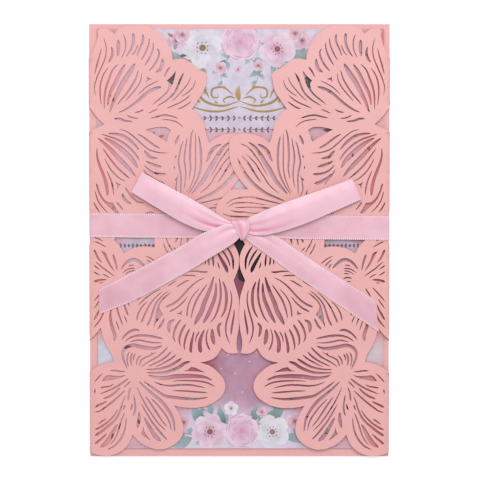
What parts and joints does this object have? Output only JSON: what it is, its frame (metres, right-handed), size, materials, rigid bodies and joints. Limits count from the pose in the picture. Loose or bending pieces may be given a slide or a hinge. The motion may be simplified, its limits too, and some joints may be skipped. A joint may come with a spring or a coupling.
{
  "type": "laser-cut wedding invitation",
  "caption": "Flat folded card jacket with laser-cut rose and fern gate flaps over a printed card, tied shut round the middle with a satin ribbon bow.",
  "frame": {"origin": "under the middle of the page, on the face the invitation lies on", "axes": "+X across the page to the right as it is read, +Y up the page, +Z out of its front"},
  "size_m": [0.127, 0.183, 0.0062],
  "materials": {
    "jacket_card": "pale pink pearlescent card, laser cut",
    "printed_card": "matt white card with a soft floral print",
    "satin_ribbon": "pale pink satin"
  },
  "bodies": {
    "root": {"jacket": "jacket_card", "insert_card": "printed_card", "ribbon": "satin_ribbon"}
  },
  "joints": []
}
